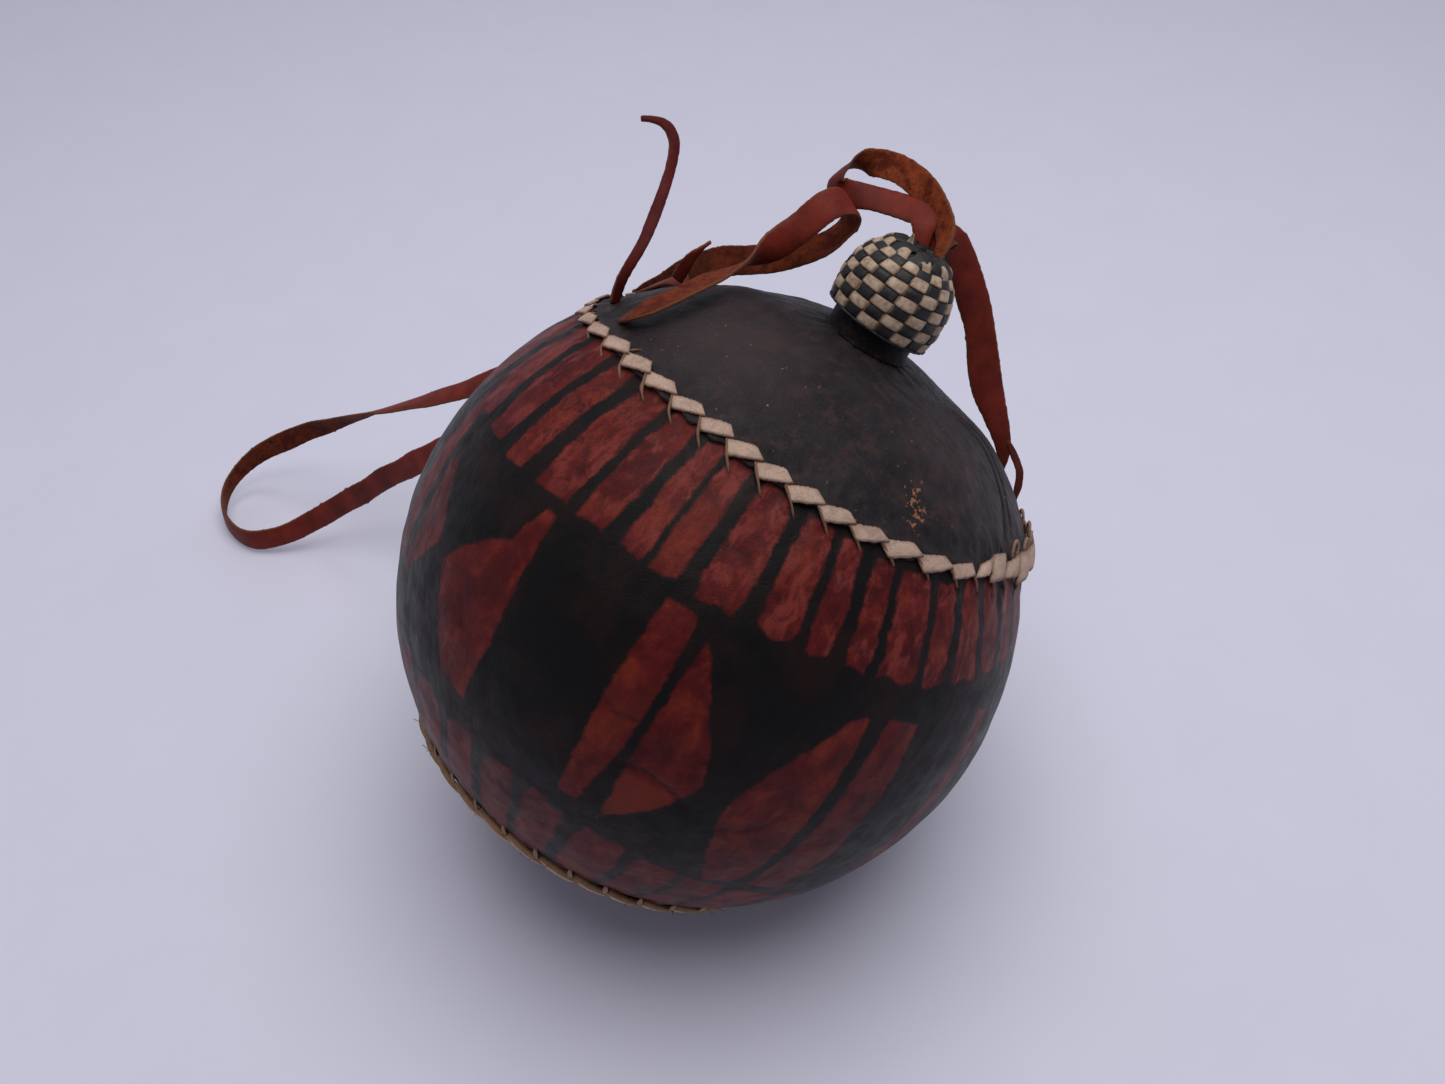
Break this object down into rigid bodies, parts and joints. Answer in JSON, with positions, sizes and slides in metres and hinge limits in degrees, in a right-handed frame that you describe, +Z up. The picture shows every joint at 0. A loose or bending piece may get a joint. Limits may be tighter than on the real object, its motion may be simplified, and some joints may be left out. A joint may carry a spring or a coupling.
{
  "type": "leather covered gourd flask",
  "caption": "Round gourd flask covered in laced, dyed leather, with a short neck, a plaited leather stopper cap on a tether, and a long carrying strap.",
  "frame": {"origin": "centre of the flat patch the ball rests on", "axes": "+Z up; the neck leans from the vertical towards +X"},
  "size_m": [0.2066, 0.3511, 0.2302],
  "materials": {
    "gourd": "dry calabash rind",
    "black_leather": "matt dyed goat leather",
    "painted_leather": "red and black dyed leather",
    "bottom_leather": "red and black dyed leather",
    "sleeve_leather": "matt black leather",
    "upper_lacing": "pale rawhide thong",
    "lower_lacing": "tan rawhide thong",
    "plug_wood": "carved soft wood",
    "lining_leather": "rough leather",
    "hem_leather": "folded black leather edge",
    "light_strip": "cream rawhide strip",
    "dark_strip": "black leather strip",
    "crown_leather": "black plaited leather",
    "petal_strip": "cream rawhide strip ends",
    "tag_strip": "pale leather point",
    "strap_leather": "red-brown strap, grain one side and suede the other",
    "tether_leather": "red-brown strap, grain one side and suede the other",
    "loop_leather": "red-brown strap, grain one side and suede the other",
    "tail_leather": "narrow red-brown strap end",
    "back_tail_leather": "narrow red-brown strap end",
    "thong_leather": "narrow red-brown thong"
  },
  "bodies": {
    "flask": {"gourd_bowl": "gourd", "gourd_shoulder": "gourd", "gourd_neck": "gourd", "top_leather": "black_leather", "body_leather": "painted_leather", "bottom_leather": "bottom_leather", "neck_sleeve": "sleeve_leather", "upper_seam_lacing": "upper_lacing", "lower_seam_lacing": "lower_lacing", "carrying_strap": "strap_leather", "left_tail": "tail_leather", "back_tail": "back_tail_leather", "tether_thong": "thong_leather"},
    "stopper": {"stopper_plug": "plug_wood", "cap_lining": "lining_leather", "cap_hem": "hem_leather", "cap_light_cells": "light_strip", "cap_dark_cells": "dark_strip", "cap_crown": "crown_leather", "crown_petals": "petal_strip", "crown_tag": "tag_strip", "tether_strap": "tether_leather", "stopper_loop": "loop_leather"}
  },
  "joints": [
    {"name": "stopper_lift", "type": "slide", "parent": "flask", "child": "stopper", "axis": [0.5489, -0.0577, 0.8339], "range_m": [0, 0.03]}
  ]
}
